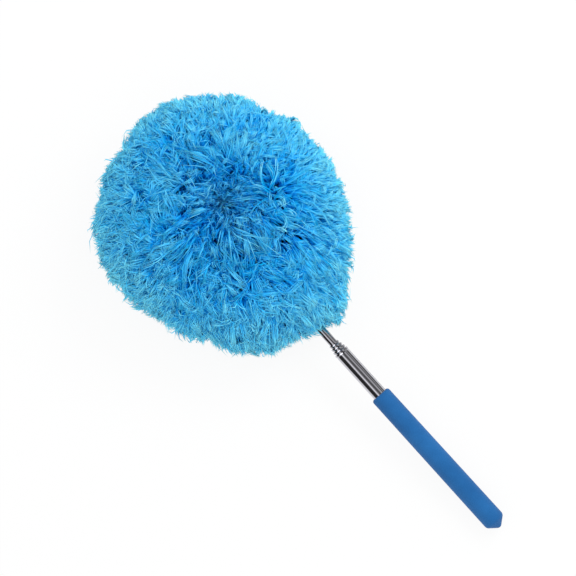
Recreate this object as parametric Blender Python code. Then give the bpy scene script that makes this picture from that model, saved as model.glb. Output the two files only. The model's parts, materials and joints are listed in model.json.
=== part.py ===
# Ceiling fan duster: a fluffy ring of microfibre strands on a telescopic steel pole with a foam grip.
# Metres, +Z up. It lies on the floor, on the lower edge of the grip's end and on the head's near side.
# Every piece is made in the pole's frame: +X runs from the grip's point to the head, along the pole's
# axis, and +Z is the axis of the head's ring. The empty named lying tilts that frame onto the floor.
# An outline is a list of (reach along the pole, radius) points that is turned about the pole's axis.

import itertools
import math
import random

import bmesh
import bpy
from mathutils import Vector

# Fits and the fineness of round pieces
seat_gap = 0.0003
running_gap = 0.00012
lip_gap = 0.00015
cut_overrun = 0.004
round_sides = 24
corner_steps = 3

# Grip, a foam sleeve with a closed conical point
grip_length = 0.2277
grip_top_radius = 0.0135
grip_end_radius = 0.0143
grip_point_length = 0.0117
grip_point_rounding = 0.003
grip_edge = 0.0012
grip_shoulder_radius = 0.0035
grip_floor = 0.0165

# Telescopic pole, section 1 outermost
section_count = 5
outer_tube_radius = 0.0095
radius_step = 0.00095
tube_wall = 0.0005
outer_tube_showing = 0.0737
mouth_step = 0.00465
inner_tube_showing = 0.0353
lip_length = 0.003
lip_rounding = 0.0007
foot_length = 0.0015
foot_rise = 0.0006

# Friction sleeves, split spring tubes round the foot of each sliding section
friction_sleeve_length = 0.026
friction_sleeve_wall = 0.0002
friction_sleeve_gap = 0.0001
friction_sleeve_turn = math.radians(345)

# End plug in the outer tube
plug_flange = 0.002
plug_length = 0.012
plug_chamfer = 0.001

# Head, the ring of pile. The hole lies off the middle of the head's round outline.
head_radius = 0.168
hole_radius = 0.02
hole_offset = Vector((0.0196, -0.0144, 0))
pile_half_height = 0.062
strand_length = 0.022
hole_side_share = 0.85
pile_wall = 0.002
pile_web = 0.002
slice_count = 12
slice_columns = 4
section_rows = 12
bare_rows = 3
strand_base_share = 0.88
strand_lean_share = 0.33
shortest_strand_share = 0.82
strand_seed = 11

# Where the head's pile is pressed flat on the floor
rest_press = 0.003
rest_half_angle = math.radians(20)
strand_lift = 0.0006

# Wire loop, its plastic coat and the backing cloth
wire_radius = 0.00225
coat_wall = 0.0009
cloth_wall = 0.0009
wire_end_reach = 0.003
web_gap = 0.0006
loop_sides = 8

# Socket that joins the loop to the pole, and its pin
socket_radius = 0.01
socket_below_wire = 0.021
socket_above_wire = 0.012
socket_floor = 0.004
socket_rounding = 0.003
pin_radius = 0.0016
pin_below_wire = 0.0138
pin_inset = 0.0004

# Cloth cuff and its elastic
cuff_wall = 0.0012
cuff_start = 0.007
cuff_flare = 0.002
cuff_clearance = 0.001
elastic_clearance = 0.0012
elastic_width = 0.008
elastic_thickness = 0.0018

# Places along the pole, worked out from the sizes above
bottom_reach = grip_floor + seat_gap
outer_foot_reach = bottom_reach + plug_flange + seat_gap
plug_top_reach = bottom_reach + plug_flange + plug_length
inner_foot_reach = plug_top_reach + seat_gap
outer_mouth_reach = grip_length + outer_tube_showing
last_mouth_reach = outer_mouth_reach + mouth_step * (section_count - 2)
head_edge_reach = last_mouth_reach + inner_tube_showing
head_reach = head_edge_reach + head_radius
grip_edge_reach = grip_point_length + grip_edge

# The ring's section and the loop that runs through its middle
pile_half_width = (head_radius - hole_radius) / 2
loop_radius = (head_radius + hole_radius) / 2
loop_centre = hole_offset / 2
loop_near = math.sqrt(loop_radius**2 - loop_centre.y**2) - loop_centre.x
wire_reach = head_reach - loop_near
socket_start = wire_reach - socket_below_wire
socket_end = wire_reach + socket_above_wire
socket_bottom = wire_reach - wire_radius - seat_gap - socket_floor
coat_radius = wire_radius + seat_gap + coat_wall
cloth_radius = coat_radius + seat_gap + cloth_wall
layer_end_side = socket_radius + cuff_wall + seat_gap * 2

# The tilt of the pole, and the place of the grip's point, with the whole duster centred on the origin
grip_rest_radius = grip_end_radius * math.cos(math.pi / round_sides)
lying_rise = pile_half_height - rest_press - grip_rest_radius
lying_tilt = math.atan2(lying_rise, wire_reach - grip_edge_reach)
point_height = grip_rest_radius * math.cos(lying_tilt) - grip_edge_reach * math.sin(lying_tilt)
far_section_x = (head_reach + head_radius - pile_half_width) * math.cos(lying_tilt)
far_section_width = math.hypot(
    pile_half_width * math.cos(lying_tilt), pile_half_height * math.sin(lying_tilt)
)
point_x = -(far_section_x + far_section_width) / 2


def tube_radius(section):
    return outer_tube_radius - radius_step * (section - 1)


def bore_radius(section):
    return tube_radius(section) - tube_wall


def mouth_reach(section):
    return outer_mouth_reach + mouth_step * (section - 1)


def clear_scene():
    for item in list(bpy.data.objects):
        bpy.data.objects.remove(item, do_unlink=True)


def finish(name, colour, roughness, metallic):
    material = bpy.data.materials.new(name)
    material.use_nodes = True
    surface = material.node_tree.nodes["Principled BSDF"]
    surface.inputs["Base Color"].default_value = (*colour, 1)
    surface.inputs["Roughness"].default_value = roughness
    surface.inputs["Metallic"].default_value = metallic
    material.diffuse_color = (*colour, 1)
    return material


def empty(name, parent):
    holder = bpy.data.objects.new(name, None)
    bpy.context.collection.objects.link(holder)
    holder.parent = parent
    return holder


def add_object(name, bm, material, parent, reach):
    bmesh.ops.recalc_face_normals(bm, faces=bm.faces)
    mesh = bpy.data.meshes.new(name)
    bm.to_mesh(mesh)
    bm.free()
    mesh.shade_smooth()
    mesh.set_sharp_from_angle(angle=math.radians(40))
    mesh.materials.append(material)
    item = bpy.data.objects.new(name, mesh)
    bpy.context.collection.objects.link(item)
    item.parent = parent
    item.location.x = reach
    return item


def corner(reach, radius, rounding, start, end):
    """Points on a rounded corner, about the centre (reach, radius), between two angles in degrees."""
    points = []
    for step in range(corner_steps + 1):
        angle = math.radians(start + (end - start) * step / corner_steps)
        points.append((reach + rounding * math.cos(angle), radius + rounding * math.sin(angle)))
    return points


def turned(name, outline, material, parent, reach=0, turn=math.tau):
    """Turns an outline about the pole's axis. It is a closed loop, or runs from axis to axis."""
    bm = bmesh.new()
    half_side = math.pi / round_sides
    points = []
    for along, radius in outline:
        points.append(bm.verts.new((along, radius * math.sin(half_side), radius * math.cos(half_side))))
    ends = points[1:] + points[:1] if outline[0][1] > 0 else points[1:]
    edges = [bm.edges.new(pair) for pair in zip(points, ends)]
    bmesh.ops.spin(
        bm,
        geom=points + edges,
        cent=(0, 0, 0),
        axis=(1, 0, 0),
        angle=turn,
        steps=round_sides,
        use_merge=turn == math.tau,
    )
    bmesh.ops.remove_doubles(bm, verts=bm.verts, dist=running_gap / 10)
    bmesh.ops.holes_fill(bm, edges=[edge for edge in bm.edges if edge.is_boundary])
    return add_object(name, bm, material, parent, reach)


def skinned(name, rings, material, parent, reach, strands=None):
    """Joins rings of points in turn, the last back to the first, or caps both ends when strands is None.

    strands maps (ring, row) to the tip of the strand that stands on the face after that point.
    """
    bm = bmesh.new()
    rows = len(rings[0])
    corners = [[bm.verts.new(point) for point in ring] for ring in rings]
    joins = len(rings) if strands is not None else len(rings) - 1
    for ring in range(joins):
        here = corners[ring]
        there = corners[(ring + 1) % len(rings)]
        for row in range(rows):
            after = (row + 1) % rows
            face = [here[row], here[after], there[after], there[row]]
            tip = (strands or {}).get((ring, row))
            if tip is None:
                bm.faces.new(face)
            else:
                add_strand(bm, face, tip)
    if strands is None:
        bm.faces.new(corners[0])
        bm.faces.new(corners[-1])
    return add_object(name, bm, material, parent, reach)


def add_strand(bm, face, tip):
    """Fills a four-cornered face with a collar round a four-sided strand that runs out to its tip."""
    middle = sum((vert.co for vert in face), Vector()) / len(face)
    base = [bm.verts.new(middle.lerp(vert.co, strand_base_share)) for vert in face]
    top = bm.verts.new(tip)
    for side in range(len(face)):
        after = (side + 1) % len(face)
        bm.faces.new([face[side], face[after], base[after], base[side]])
        bm.faces.new([base[side], base[after], top])


def cut(item, cutter):
    change = item.modifiers.new(cutter.name, "BOOLEAN")
    change.operation = "DIFFERENCE"
    change.solver = "EXACT"
    change.object = cutter


def as_cutter(item):
    item.hide_render = True
    item.display_type = "WIRE"
    return item


def add_grip(parent):
    foam = finish("grip_foam", (0.026, 0.151, 0.402), 0.75, 0)
    bore = outer_tube_radius + seat_gap
    edge = Vector((grip_point_length, grip_end_radius)).normalized() * grip_edge
    shoulder_reach = grip_length - grip_shoulder_radius
    shoulder_height = grip_top_radius - grip_shoulder_radius
    outline = [(0, 0)]
    outline += corner(grip_point_rounding, 0, grip_point_rounding, 155, 130)
    outline += [
        (grip_point_length - edge.x, grip_end_radius - edge.y),
        (grip_edge_reach, grip_end_radius),
    ]
    outline += corner(shoulder_reach, shoulder_height, grip_shoulder_radius, 90, 0)
    outline += [(grip_length, bore), (grip_floor, bore), (grip_floor, 0)]
    turned("grip", outline, foam, parent)


def add_end_plug(parent):
    nylon = finish("plug_nylon", (0.03, 0.03, 0.032), 0.5, 0)
    radius = bore_radius(1) - seat_gap
    top = plug_flange + plug_length
    outline = [
        (0, 0),
        (0, outer_tube_radius),
        (plug_flange, outer_tube_radius),
        (plug_flange, radius),
        (top - plug_chamfer, radius),
        (top, radius - plug_chamfer),
        (top, 0),
    ]
    turned("end_plug", outline, nylon, parent, bottom_reach)


def tube_outline(length, section):
    """One section: a flared foot that runs in the next bore out, and a mouth rolled in to the next tube."""
    radius = tube_radius(section)
    bore = bore_radius(section)
    outline = []
    if section > 1:
        foot = bore_radius(section - 1) - running_gap
        outline += [(0, foot), (foot_length, foot), (foot_length + foot_rise, radius)]
    else:
        outline += [(0, radius)]
    if section < section_count:
        lip = tube_radius(section + 1) + lip_gap
        outline += corner(length - lip_rounding, radius - lip_rounding, lip_rounding, 90, 0)
        outline += [(length, lip), (length - lip_length, lip), (length - lip_length, bore)]
    else:
        outline += [(length, radius), (length, bore)]
    return outline + [(0, bore)]


def add_tube(section, parent):
    steel = finish(f"tube_{section}_steel", (0.56, 0.56, 0.57), 0.2, 1)
    foot = outer_foot_reach if section == 1 else inner_foot_reach
    end = mouth_reach(section) if section < section_count else socket_bottom - seat_gap
    return turned(f"tube_{section}", tube_outline(end - foot, section), steel, parent, foot)


def add_friction_sleeve(section, parent):
    bronze = finish(f"friction_sleeve_{section}_bronze", (0.5, 0.3, 0.12), 0.35, 1)
    inner = tube_radius(section) + friction_sleeve_gap
    outer = inner + friction_sleeve_wall
    length = friction_sleeve_length
    outline = [(0, outer), (length, outer), (length, inner), (0, inner)]
    start = inner_foot_reach + foot_length + foot_rise + seat_gap
    name = f"friction_sleeve_{section}"
    turned(name, outline, bronze, parent, start, friction_sleeve_turn)


def loop_angle(side):
    """Angle round the loop where its near part lies at this distance to the +Y side of the pole."""
    return math.pi - math.asin((side - loop_centre.y) / loop_radius)


def loop_ring(angle, radius):
    outward = Vector((math.cos(angle), math.sin(angle), 0))
    middle = loop_centre + outward * loop_radius
    ring = []
    for side in range(loop_sides):
        around = math.tau * side / loop_sides
        lift = Vector((0, 0, radius * math.sin(around)))
        ring.append(middle + outward * (radius * math.cos(around)) + lift)
    return ring


def loop_rings(end_side, radius):
    """Rings along the loop, from one side of the pole round the head to the other side.

    All layers have rings at the layers' ends and on the planes between slices, so they bend as one.
    """
    half_slice = column_angle * slice_columns / 2
    first = loop_angle(-layer_end_side)
    last = loop_angle(layer_end_side) + math.tau
    angles = {first, last, loop_angle(-end_side), loop_angle(end_side) + math.tau}
    steps = range(math.ceil(first / half_slice), math.ceil(last / half_slice))
    angles.update(half_slice * step for step in steps)
    return [loop_ring(angle, radius) for angle in sorted(angles)]


def add_loop_wire(parent):
    steel = finish("loop_wire_steel", (0.45, 0.45, 0.46), 0.35, 1)
    rings = loop_rings(wire_end_reach, wire_radius)
    skinned("loop_wire", rings, steel, parent, head_reach)


def add_loop_layer(name, material, inner_radius, wall, parent):
    outer = loop_rings(layer_end_side, inner_radius + wall)
    inner = loop_rings(layer_end_side, inner_radius)
    skinned(name, outer + inner[::-1], material, parent, head_reach, {})


def add_loop_coat(parent):
    plastic = finish("loop_coat_plastic", (0.02, 0.16, 0.42), 0.5, 0)
    add_loop_layer("loop_coat", plastic, wire_radius + seat_gap, coat_wall, parent)


def add_backing_cloth(parent):
    cloth = finish("backing_cloth_weave", (0.03, 0.25, 0.55), 0.9, 0)
    add_loop_layer("backing_cloth", cloth, coat_radius + seat_gap, cloth_wall, parent)


def pin_cylinder(name, radius, half_length, material, parent):
    bm = bmesh.new()
    bmesh.ops.create_cone(
        bm,
        cap_ends=True,
        segments=round_sides // 2,
        radius1=radius,
        radius2=radius,
        depth=half_length * 2,
    )
    return add_object(name, bm, material, parent, wire_reach - pin_below_wire)


def add_head_socket(inner_tube, parent):
    """The moulded socket on the innermost tube, with bores for the wire's ends and the cross pin."""
    nylon = finish("head_socket_nylon", (0.02, 0.16, 0.42), 0.45, 0)
    bore = tube_radius(section_count) + seat_gap
    length = socket_end - socket_start
    depth = socket_bottom - socket_start
    outline = [(depth, 0), (depth, bore), (0, bore), (0, socket_radius)]
    centre = (length - socket_rounding, socket_radius - socket_rounding)
    outline += corner(*centre, socket_rounding, 90, 0)
    outline += [(length, 0)]
    socket = turned("head_socket", outline, nylon, parent, socket_start)

    rings = loop_rings(wire_end_reach - seat_gap, wire_radius + seat_gap)
    wire_bores = as_cutter(skinned("wire_bores", rings, nylon, parent, head_reach))
    cut(socket, wire_bores)

    pin_steel = finish("cross_pin_steel", (0.5, 0.5, 0.51), 0.3, 1)
    pin_cylinder("cross_pin", pin_radius, socket_radius - pin_inset, pin_steel, parent)
    hole_half_length = socket_radius + cut_overrun
    pin_hole = pin_cylinder("pin_hole", pin_radius + seat_gap, hole_half_length, nylon, parent)
    cut(socket, as_cutter(pin_hole))
    cut(inner_tube, pin_hole)


def cuff_outer_radius():
    return tube_radius(section_count) + seat_gap + cuff_wall


def add_cuff(parent):
    """The neck of the cloth cover, drawn over the socket's lower end."""
    cloth = finish("cuff_weave", (0.02, 0.2, 0.42), 0.9, 0)
    start = head_edge_reach + cuff_start
    throat = socket_start - seat_gap - start
    end = wire_reach - cloth_radius - cuff_clearance - start
    neck = tube_radius(section_count) + seat_gap
    hood = socket_radius + seat_gap
    outline = [
        (0, neck + cuff_wall),
        (throat - cuff_flare - cuff_wall, neck + cuff_wall),
        (throat - cuff_wall, hood + cuff_wall),
        (end, hood + cuff_wall),
        (end, hood),
        (throat, hood),
        (throat, neck),
        (0, neck),
    ]
    turned("cuff", outline, cloth, parent, start)


def wall_inside_reach():
    """Where the pile's hollow begins, at the ends of the slice that the pole runs into."""
    half_slice = column_angle * slice_columns / 2
    depth = strand_length + pile_wall
    ends = [pile_point(math.pi + side * half_slice, row_angle / 2, depth).x for side in (-1, 1)]
    return head_reach + max(ends)


def add_elastic(parent):
    rubber = finish("cuff_elastic_rubber", (0.35, 0.35, 0.36), 0.8, 0)
    inner = cuff_outer_radius() + seat_gap
    outer = inner + elastic_thickness
    outline = [(0, outer), (elastic_width, outer), (elastic_width, inner), (0, inner)]
    turned("cuff_elastic", outline, rubber, parent, wall_inside_reach() + elastic_clearance)


def floor_height(point):
    """Height over the floor of a point in the head's frame, and by what it scales along the ring's axis."""
    along = head_reach + point.x
    return point_height + along * math.sin(lying_tilt) + point.z * math.cos(lying_tilt)


def raised_to(point, height):
    """The point moved along the ring's axis until it is this high over the floor."""
    shift = (height - floor_height(point)) / math.cos(lying_tilt)
    return point + Vector((0, 0, shift))


def strand_depth(around):
    """How deep the strands stand. They get short toward the hole."""
    return strand_length * (1 - hole_side_share * max(0, -math.cos(around)))


def pile_point(turn, around, depth, shift=0):
    """A point of the ring. turn is its place round the ring, and around its place round the section.

    around is zero at the outer rim, a quarter turn on top and half a turn at the hole. depth is taken in
    from the strands' tips, and shift moves the point along the ring.
    """
    share = (1 - (1 - depth / pile_half_width) * math.cos(around)) / 2
    height = (pile_half_height - depth) * math.sin(around)
    reach = head_radius + (hole_radius - head_radius) * share
    angle = turn + shift / reach
    out = Vector((math.cos(angle), math.sin(angle), 0)) * reach
    return hole_offset * share + out + Vector((0, 0, height))


def cloth_point(turn, around, shift):
    """A point round the backing cloth, in the plane of the pile's section at this turn."""
    half_span = (pile_point(turn, 0, 0) - pile_point(turn, math.pi, 0)).length / 2
    radius = cloth_radius + web_gap
    share = (1 - radius / half_span * math.cos(around)) / 2
    reach = head_radius + (hole_radius - head_radius) * share
    angle = turn + shift / reach
    out = Vector((math.cos(angle), math.sin(angle), 0)) * reach
    return hole_offset * share + out + Vector((0, 0, radius * math.sin(around)))


row_angle = math.tau / section_rows
column_angle = math.tau / (slice_count * slice_columns)


def row_edge(row):
    """Rows are centred on the outer rim, on the top, on the hole and on the underside."""
    return row_angle * (row - 1 / 2)


def is_bare(row):
    """Whether a row lies in the hole, where the pile has no room to stand."""
    from_rim = min(row, section_rows - row)
    return from_rim > (section_rows - bare_rows) / 2


def is_pressed(turn, around):
    """Whether a corner of the grid lies in the patch that the floor presses flat."""
    under = abs(math.remainder(around + math.pi / 2, math.tau)) < row_angle * 2 / 3
    near = abs(math.remainder(turn - loop_angle(0), math.tau)) < rest_half_angle
    return under and near


def backing_point(turn, around, shift=0):
    """A point of the pile's packed body, which the strands stand on."""
    if is_pressed(turn, around):
        return raised_to(pile_point(turn, around, 0, shift), 0)
    return pile_point(turn, around, strand_depth(around), shift)


def strand_tip(turn, row, dice):
    """The tip over the middle of a cell, leant and shortened a little, and held clear of the floor."""
    lean_turn = dice.uniform(-strand_lean_share, strand_lean_share) * column_angle
    lean_around = dice.uniform(-strand_lean_share, strand_lean_share) * row_angle
    around = row_edge(row) + row_angle / 2 + lean_around
    length_share = dice.uniform(shortest_strand_share, 1)
    depth = strand_depth(around) * (1 - length_share)
    tip = pile_point(turn + column_angle / 2 + lean_turn, around, depth)
    if floor_height(tip) < strand_lift:
        tip = raised_to(tip, strand_lift)
    return tip


def is_at_pole(turn, row):
    """Whether a cell lies where the cuff comes out of the pile."""
    middle = turn + column_angle / 2
    return row == 0 and abs(math.remainder(middle - math.pi, math.tau)) < column_angle


def add_pile_slice(number, dice, material, parent):
    """One slice of the pile: a wall with strands outside, and at its start a web that holds the cloth."""
    start = math.pi + column_angle * slice_columns * (number - 3 / 2)
    edges = [row_edge(row) for row in range(section_rows)]
    half_gap = seat_gap / 2
    rings = []
    for column in range(slice_columns + 1):
        turn = start + column_angle * column
        shift = half_gap if column == 0 else -half_gap if column == slice_columns else 0
        rings.append([backing_point(turn, around, shift) for around in edges])
    end = start + column_angle * slice_columns
    web_shift = half_gap + pile_web
    inner_depths = [strand_depth(around) + pile_wall for around in edges]
    rings.append([pile_point(end, *pair, -half_gap) for pair in zip(edges, inner_depths)])
    rings.append([pile_point(start, *pair, web_shift) for pair in zip(edges, inner_depths)])
    rings.append([cloth_point(start, around, web_shift) for around in edges])
    rings.append([cloth_point(start, around, half_gap) for around in edges])

    strands = {}
    for column in range(slice_columns):
        turn = start + column_angle * column
        for row in range(section_rows):
            turns = (turn, turn + column_angle)
            arounds = (edges[row], edges[row] + row_angle)
            flat = all(is_pressed(*place) for place in itertools.product(turns, arounds))
            tip = strand_tip(turn, row, dice)
            if not (flat or is_bare(row) or is_at_pole(turn, row)):
                strands[column, row] = tip
    return skinned(f"pile_{number}", rings, material, parent, head_reach, strands)


def add_pile(parent):
    fibre = finish("pile_fibre", (0.035, 0.32, 0.7), 0.9, 0)
    dice = random.Random(strand_seed)
    slices = [add_pile_slice(number, dice, fibre, parent) for number in range(1, slice_count + 1)]
    passage = cuff_outer_radius() + seat_gap
    depth = wall_inside_reach() - head_edge_reach + cut_overrun * 2
    outline = [(0, 0), (0, passage), (depth, passage), (depth, 0)]
    neck_hole = turned("neck_hole", outline, fibre, parent, head_edge_reach - cut_overrun)
    cut(slices[0], as_cutter(neck_hole))


def build():
    clear_scene()
    lying = empty("lying", None)
    lying.location = (point_x, 0, point_height)
    lying.rotation_euler.y = -lying_tilt
    add_grip(lying)
    add_end_plug(lying)
    add_tube(1, lying)

    slide_2 = empty("slide_2", lying)
    add_friction_sleeve(2, slide_2)
    holder = empty("swivel", slide_2)
    add_tube(2, holder)
    for section in range(3, section_count + 1):
        holder = empty(f"slide_{section}", holder)
        add_friction_sleeve(section, holder)
        inner_tube = add_tube(section, holder)

    add_head_socket(inner_tube, holder)
    add_loop_wire(holder)
    add_loop_coat(holder)
    add_backing_cloth(holder)
    add_cuff(holder)
    add_elastic(holder)
    add_pile(holder)


build()
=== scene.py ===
# Looks of the ceiling fan duster: a fluffy ring of blue microfibre strands on a telescopic steel pole.
# Places are worked out in the pole's frame: reach along the pole from the swivel's point, side toward +Y,
# and height along the axis of the head's ring.
import json
import math

import bpy
import numpy as np
from mathutils import Matrix, Vector


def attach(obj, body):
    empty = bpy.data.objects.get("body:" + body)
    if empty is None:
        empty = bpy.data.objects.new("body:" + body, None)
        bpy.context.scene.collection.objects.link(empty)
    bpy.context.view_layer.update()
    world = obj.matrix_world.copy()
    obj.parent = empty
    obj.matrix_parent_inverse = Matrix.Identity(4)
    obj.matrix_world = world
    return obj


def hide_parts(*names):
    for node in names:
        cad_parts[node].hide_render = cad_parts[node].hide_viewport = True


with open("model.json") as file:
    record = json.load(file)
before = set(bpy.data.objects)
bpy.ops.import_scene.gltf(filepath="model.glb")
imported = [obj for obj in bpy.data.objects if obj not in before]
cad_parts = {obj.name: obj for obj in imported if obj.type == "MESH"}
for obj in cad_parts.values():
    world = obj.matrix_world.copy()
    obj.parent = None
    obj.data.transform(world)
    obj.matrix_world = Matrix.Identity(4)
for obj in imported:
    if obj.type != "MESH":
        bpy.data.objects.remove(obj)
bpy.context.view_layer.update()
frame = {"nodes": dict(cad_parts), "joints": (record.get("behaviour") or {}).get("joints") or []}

joints = {joint["name"]: joint for joint in frame["joints"]}
poleAxis = np.array(joints["slide_2"]["axis"])
poleAxis /= np.linalg.norm(poleAxis)
sideAxis = np.array([0.0, 1.0, 0.0])
ringAxis = np.cross(poleAxis, sideAxis)
swivelPoint = np.array(joints["swivel"]["pos_m"])
poleFrame = np.array([poleAxis, sideAxis, ringAxis])


def toWorld(points):
    # Points given as (reach, side, height), in the world
    return swivelPoint + points @ poleFrame


def reachOf(node):
    # First and last reach of a CAD node along the pole
    vertices = frame["nodes"][node].data.vertices
    places = np.empty(len(vertices) * 3)
    vertices.foreach_get("co", places)
    reach = (places.reshape(-1, 3) - swivelPoint) @ poleAxis
    return reach.min(), reach.max()


# Meshes from arrays

def gridFaces(rows, columns, wrapRows, wrapColumns):
    # Quads between neighbouring rows and columns of a grid of points numbered row by row
    row = np.arange(rows if wrapRows else rows - 1)
    column = np.arange(columns if wrapColumns else columns - 1)
    row, column = (part.ravel() for part in np.meshgrid(row, column, indexing="ij"))
    nextRow = (row + 1) % rows
    nextColumn = (column + 1) % columns
    corners = [row * columns + column, row * columns + nextColumn]
    corners += [nextRow * columns + nextColumn, nextRow * columns + column]
    return np.stack(corners, axis=1)


def facingOut(points, faces):
    # The faces as given, or all turned over if the volume that they enclose comes out negative
    volume = 0
    for part in faces:
        for last in range(2, part.shape[1]):
            first, second, third = (points[part[:, corner]] for corner in (0, last - 1, last))
            volume += np.einsum("ij,ij->", first, np.cross(second, third))
    return faces if volume > 0 else [part[:, ::-1] for part in faces]


def newPiece(name, points, faces, finish, body, replaced=(), cornerPlaces=None, normals=None):
    # An object whose place is in its mesh. faces holds arrays of quads or of triangles.
    corners = np.concatenate([part.ravel() for part in faces])
    sizes = np.concatenate([np.full(len(part), part.shape[1]) for part in faces])
    starts = np.concatenate([[0], np.cumsum(sizes)[:-1]])
    mesh = bpy.data.meshes.new(name)
    mesh.vertices.add(len(points))
    mesh.vertices.foreach_set("co", points.ravel())
    mesh.loops.add(len(corners))
    mesh.loops.foreach_set("vertex_index", corners)
    mesh.polygons.add(len(sizes))
    mesh.polygons.foreach_set("loop_start", starts)
    if cornerPlaces is not None:
        layer = mesh.uv_layers.new(name="OFBake")
        layer.uv.foreach_set("vector", cornerPlaces.ravel())
    mesh.update(calc_edges=True)
    mesh.shade_smooth()
    if normals is not None:
        custom = mesh.attributes.new("custom_normal", "FLOAT_VECTOR", "POINT")
        custom.data.foreach_set("vector", normals.ravel())
    mesh.materials.append(finish.material)
    piece = bpy.data.objects.new(name, mesh)
    bpy.context.collection.objects.link(piece)
    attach(piece, body)
    if replaced:
        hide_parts(*replaced)
    return piece


def arc(reach, radius, rounding, start, end, steps=8):
    # Points of a rounded corner about (reach, radius), between two angles in degrees
    angles = np.radians(np.linspace(start, end, steps + 1))
    return np.stack([reach + rounding * np.cos(angles), radius + rounding * np.sin(angles)], axis=1)


def turned(outline, sides):
    # Each outline point (reach, radius) becomes a ring: side is radius x cos, height is radius x sin.
    # The outline is a closed loop, or runs from the axis to the axis.
    closedLoop = outline[0][1] > 0
    rings = outline if closedLoop else outline[1:-1]
    angles = np.arange(sides) * math.tau / sides
    reach = rings[:, :1] + 0 * angles
    grid = np.stack([reach, rings[:, 1:] * np.cos(angles), rings[:, 1:] * np.sin(angles)], axis=-1)
    points = grid.reshape(-1, 3)
    faces = [gridFaces(len(rings), sides, closedLoop, True)]
    if not closedLoop:
        ends = np.array([[outline[0][0], 0, 0], [outline[-1][0], 0, 0]])
        first, last = len(points), len(points) + 1
        side = np.arange(sides)
        after = (side + 1) % sides
        lastRow = (len(rings) - 1) * sides
        faces.append(np.stack([after, side, np.full(sides, first)], axis=1))
        faces.append(np.stack([lastRow + side, lastRow + after, np.full(sides, last)], axis=1))
        points = np.concatenate([points, ends])
    points = toWorld(points)
    return points, facingOut(points, faces)


# Materials

class Value:
    # Wraps an output socket, so that an expression on values adds its Math nodes.
    def __init__(self, nodes, socket):
        self.nodes = nodes
        self.socket = socket

    def joined(self, operation, first, second):
        return self.nodes.node("ShaderNodeMath", {"operation": operation}, {0: first, 1: second})

    def __add__(self, other):
        return self.joined("ADD", self, other)

    def __radd__(self, other):
        return self.joined("ADD", other, self)

    def __mul__(self, other):
        return self.joined("MULTIPLY", self, other)

    def __rmul__(self, other):
        return self.joined("MULTIPLY", other, self)


class Nodes:
    # Adds nodes to the tree of a material or of the world.
    def __init__(self, tree):
        self.tree = tree

    def node(self, kind, settings=None, inputs=None, output=0):
        # Settings come first, a ramp's stops among them, then the values or links of the sockets.
        made = self.tree.nodes.new(kind)
        for setting, value in (settings or {}).items():
            if setting == "stops":
                self.setStops(made.color_ramp, value)
            else:
                setattr(made, setting, value)
        for socket, value in (inputs or {}).items():
            self.feed(made.inputs[socket], value)
        return Value(self, made.outputs[output])

    def setStops(self, ramp, stops):
        while len(ramp.elements) < len(stops):
            ramp.elements.new(1)
        for element, (position, colour) in zip(ramp.elements, stops):
            element.position = position
            element.color = (*colour, 1)

    def feed(self, socket, value):
        if isinstance(value, Value):
            self.tree.links.new(value.socket, socket)
        else:
            socket.default_value = value

    def blended(self, factor, first, second):
        # A Mix node on two colours
        return self.node("ShaderNodeMix", {"data_type": "RGBA"}, {0: factor, 6: first, 7: second}, 2)

    def ramp(self, value, stops):
        return self.node("ShaderNodeValToRGB", {"stops": stops}, {0: value})


class Finish(Nodes):
    # A material. Constants are set on its shader, and use feeds what changes over the surface.
    def __init__(self, name, constants):
        self.material = bpy.data.materials.new(name)
        self.material.use_nodes = True
        super().__init__(self.material.node_tree)
        self.shader = self.tree.nodes["Principled BSDF"]
        for socket, value in constants.items():
            self.shader.inputs[socket].default_value = value

    def use(self, socket, value):
        self.feed(self.shader.inputs[socket], value)

    def along(self, scale=(1, 1, 1)):
        # Object coordinates turned so that X runs along the pole, and scaled
        coordinates = self.node("ShaderNodeTexCoord", output="Object")
        tilt = math.asin(poleAxis[2])
        turnedPlace = {"Vector": coordinates, "Rotation": (0, tilt, 0)}
        straight = self.node("ShaderNodeMapping", inputs=turnedPlace)
        return self.node("ShaderNodeMapping", inputs={"Vector": straight, "Scale": scale})

    def noise(self, place, scale=1, detail=3, roughness=0.5):
        inputs = {"Vector": place, "Scale": scale, "Detail": detail, "Roughness": roughness}
        return self.node("ShaderNodeTexNoise", inputs=inputs)

    def bump(self, height, strength, distance):
        inputs = {"Height": height, "Strength": strength, "Distance": distance}
        self.use("Normal", self.node("ShaderNodeBump", inputs=inputs))


def fromScreen(red, green, blue):
    # A colour given in screen values of 0 to 255, as linear light
    shares = np.array([red, green, blue]) / 255
    bright = ((shares + 0.055) / 1.055) ** 2.4
    return tuple(float(share) for share in np.where(shares < 0.04045, shares / 12.92, bright))


def steelFinish(name, brightness):
    # Polished stainless tube: its brightness and roughness change a little in drawn lines along it.
    finish = Finish(name, {"Metallic": 1})
    lines = finish.noise(finish.along((3, 900, 900)), detail=4, roughness=0.6)
    cloud = finish.noise(finish.along((8, 60, 60)), detail=2)
    tone = brightness * (0.86 + 0.2 * lines + 0.08 * cloud)
    bluish = 1.015 * tone
    finish.use("Base Color", finish.node("ShaderNodeCombineColor", inputs={0: tone, 1: tone, 2: bluish}))
    finish.use("Roughness", 0.03 + 0.09 * lines)
    finish.bump(lines, strength=0.08, distance=0.0002)
    return finish


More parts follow.
